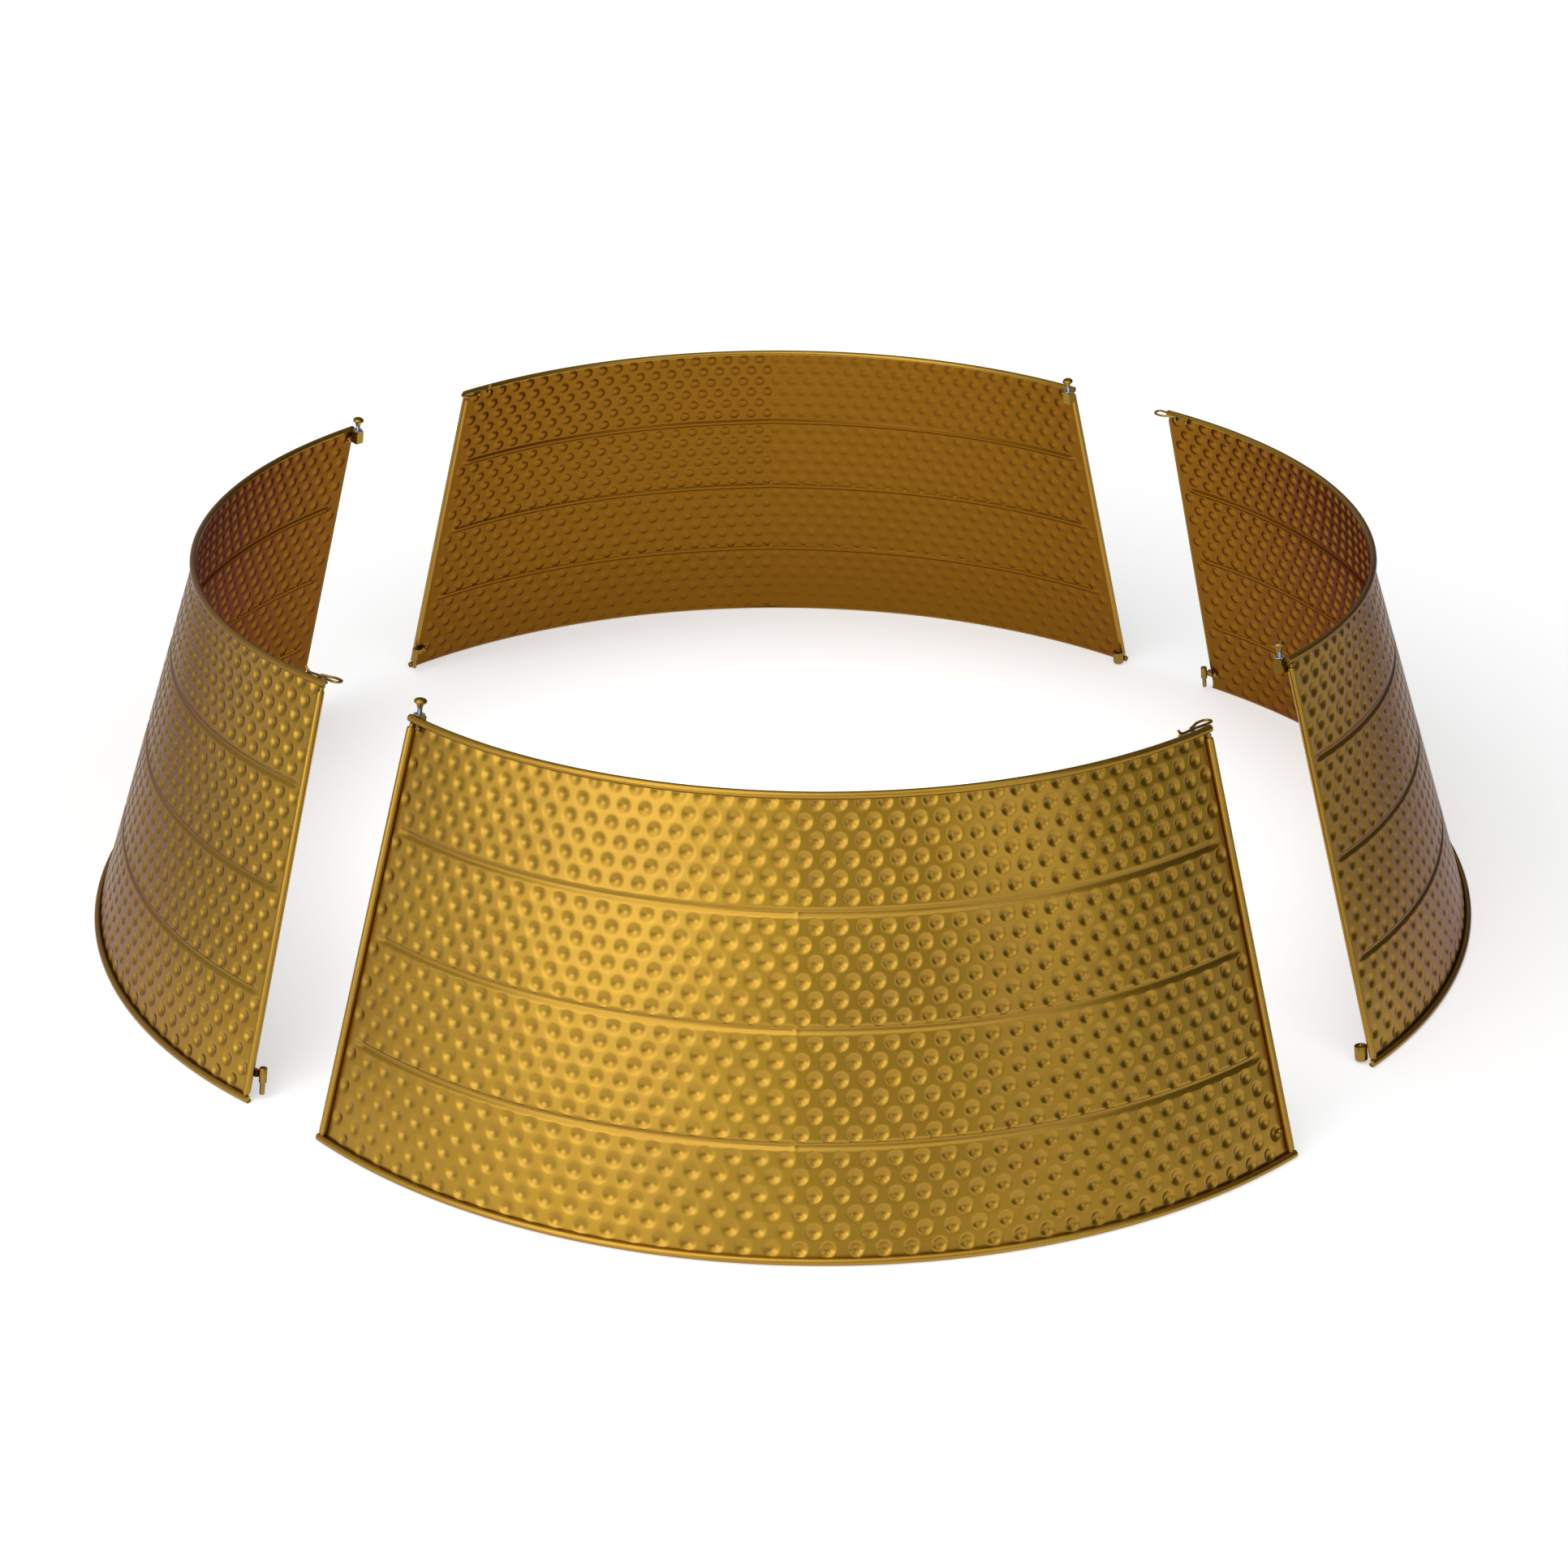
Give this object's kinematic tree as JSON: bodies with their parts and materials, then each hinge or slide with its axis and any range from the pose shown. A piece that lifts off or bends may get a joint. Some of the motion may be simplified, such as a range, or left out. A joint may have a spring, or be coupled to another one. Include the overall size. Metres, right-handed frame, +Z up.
{
  "type": "christmas tree collar",
  "caption": "Dimpled gold metal collar that hides a Christmas tree stand: quarter-cone sections with rolled edges, pulled apart, with screw-and-eye and pin-and-socket fittings",
  "frame": {"origin": "middle of the bounding box of the pulled-apart layout, on the floor", "axes": "+Z is up, the front section faces -Y, the right section faces +X"},
  "size_m": [0.8778, 0.888, 0.2406],
  "materials": {
    "gold_sheet": "satin metallic gold paint on dimpled sheet steel",
    "gold_fitting": "satin metallic gold paint on small steel fittings",
    "edge_wire": "gold painted steel wire, hidden in the rolled edges",
    "bare_steel": "bright zinc-plated steel of screws and washers"
  },
  "bodies": {
    "front_section": {"front_sheet": "gold_sheet", "front_top_wire": "edge_wire", "front_bottom_wire": "edge_wire", "front_loop_side_wire": "edge_wire", "front_screw_side_wire": "edge_wire", "front_screw_block": "gold_fitting", "front_block_rivet": "gold_fitting", "front_washer": "bare_steel", "front_eye_loop": "gold_fitting", "front_pin": "gold_fitting", "front_pin_strap": "gold_fitting", "front_pin_rivet": "gold_fitting", "front_socket": "gold_fitting"},
    "right_foot_socket": {"right_socket": "gold_fitting"},
    "right_section": {"right_sheet": "gold_sheet", "right_top_wire": "edge_wire", "right_bottom_wire": "edge_wire", "right_loop_side_wire": "edge_wire", "right_screw_side_wire": "edge_wire", "right_screw_block": "gold_fitting", "right_block_rivet": "gold_fitting", "right_washer": "bare_steel", "right_eye_loop": "gold_fitting", "right_pin": "gold_fitting", "right_pin_strap": "gold_fitting", "right_pin_rivet": "gold_fitting"},
    "back_foot_pin": {"back_pin": "gold_fitting"},
    "back_section": {"back_sheet": "gold_sheet", "back_top_wire": "edge_wire", "back_bottom_wire": "edge_wire", "back_loop_side_wire": "edge_wire", "back_screw_side_wire": "edge_wire", "back_screw_block": "gold_fitting", "back_block_rivet": "gold_fitting", "back_washer": "bare_steel", "back_eye_loop": "gold_fitting", "back_pin_strap": "gold_fitting", "back_pin_rivet": "gold_fitting", "back_socket": "gold_fitting"},
    "left_foot_pin": {"left_pin": "gold_fitting"},
    "left_section": {"left_sheet": "gold_sheet", "left_top_wire": "edge_wire", "left_bottom_wire": "edge_wire", "left_loop_side_wire": "edge_wire", "left_screw_side_wire": "edge_wire", "left_screw_block": "gold_fitting", "left_block_rivet": "gold_fitting", "left_washer": "bare_steel", "left_eye_loop": "gold_fitting", "left_pin_strap": "gold_fitting", "left_pin_rivet": "gold_fitting", "left_socket": "gold_fitting"},
    "front_screw_shank": {"front_screw_shank": "bare_steel"},
    "front_screw_head": {"front_screw_head": "gold_fitting"},
    "right_screw_shank": {"right_screw_shank": "bare_steel"},
    "right_screw_head": {"right_screw_head": "gold_fitting"},
    "back_screw_shank": {"back_screw_shank": "bare_steel"},
    "back_screw_head": {"back_screw_head": "gold_fitting"},
    "left_screw_shank": {"left_screw_shank": "bare_steel"},
    "left_screw_head": {"left_screw_head": "gold_fitting"}
  },
  "joints": [
    {"name": "right_slide", "type": "slide", "parent": "front_section", "child": "right_foot_socket", "axis": [-0.5336, -0.8458, 0], "range_m": [0, 0.0927]},
    {"name": "right_swing", "type": "hinge", "parent": "right_foot_socket", "child": "right_section", "pos_m": [0.32959, -0.24258, 0.00552], "axis": [0, 0, -1], "range_deg": [0, 4.1]},
    {"name": "back_slide", "type": "slide", "parent": "front_section", "child": "back_foot_pin", "axis": [0.316, -0.9488, 0], "range_m": [0, 0.0956]},
    {"name": "back_swing", "type": "hinge", "parent": "back_foot_pin", "child": "back_section", "pos_m": [-0.27, 0.31904, 0.01473], "axis": [0, 0, -1], "range_deg": [0, 3.1]},
    {"name": "left_slide", "type": "slide", "parent": "front_section", "child": "left_foot_pin", "axis": [0.7557, -0.6549, 0], "range_m": [0, 0.0435]},
    {"name": "left_swing", "type": "hinge", "parent": "left_foot_pin", "child": "left_section", "pos_m": [-0.29512, -0.27662, 0.01473], "axis": [0, 0, -1], "range_deg": [0, 7.1]},
    {"name": "front_screw_drive", "type": "slide", "parent": "front_section", "child": "front_screw_shank", "axis": [-0.1266, -0.1188, -0.9848], "range_m": [0, 0.004]},
    {"name": "front_screw_turn", "type": "hinge", "parent": "front_screw_shank", "child": "front_screw_head", "pos_m": [-0.19683, -0.26412, 0.23494], "axis": [-0.1266, -0.1188, -0.9848], "range_deg": [0, 2058]},
    {"name": "right_screw_drive", "type": "slide", "parent": "right_section", "child": "right_screw_shank", "axis": [0.1276, -0.1178, -0.9848], "range_m": [0, 0.004]},
    {"name": "right_screw_turn", "type": "hinge", "parent": "right_screw_shank", "child": "right_screw_head", "pos_m": [0.2739, -0.19115, 0.23494], "axis": [0.1276, -0.1178, -0.9848], "range_deg": [0, 2058]},
    {"name": "back_screw_drive", "type": "slide", "parent": "back_section", "child": "back_screw_shank", "axis": [0.12, 0.1255, -0.9848], "range_m": [0, 0.004]},
    {"name": "back_screw_turn", "type": "hinge", "parent": "back_screw_shank", "child": "back_screw_head", "pos_m": [0.20041, 0.27523, 0.23494], "axis": [0.12, 0.1255, -0.9848], "range_deg": [0, 2058]},
    {"name": "left_screw_drive", "type": "slide", "parent": "left_section", "child": "left_screw_shank", "axis": [-0.1336, 0.111, -0.9848], "range_m": [0, 0.004]},
    {"name": "left_screw_turn", "type": "hinge", "parent": "left_screw_shank", "child": "left_screw_head", "pos_m": [-0.28422, 0.1957, 0.23494], "axis": [-0.1336, 0.111, -0.9848], "range_deg": [0, 2058]}
  ],
  "couplings": [
    {"joint": "front_screw_turn", "follows": "front_screw_drive", "rad_per_m": 8976},
    {"joint": "right_screw_turn", "follows": "right_screw_drive", "rad_per_m": 8976},
    {"joint": "back_screw_turn", "follows": "back_screw_drive", "rad_per_m": 8976},
    {"joint": "left_screw_turn", "follows": "left_screw_drive", "rad_per_m": 8976}
  ]
}
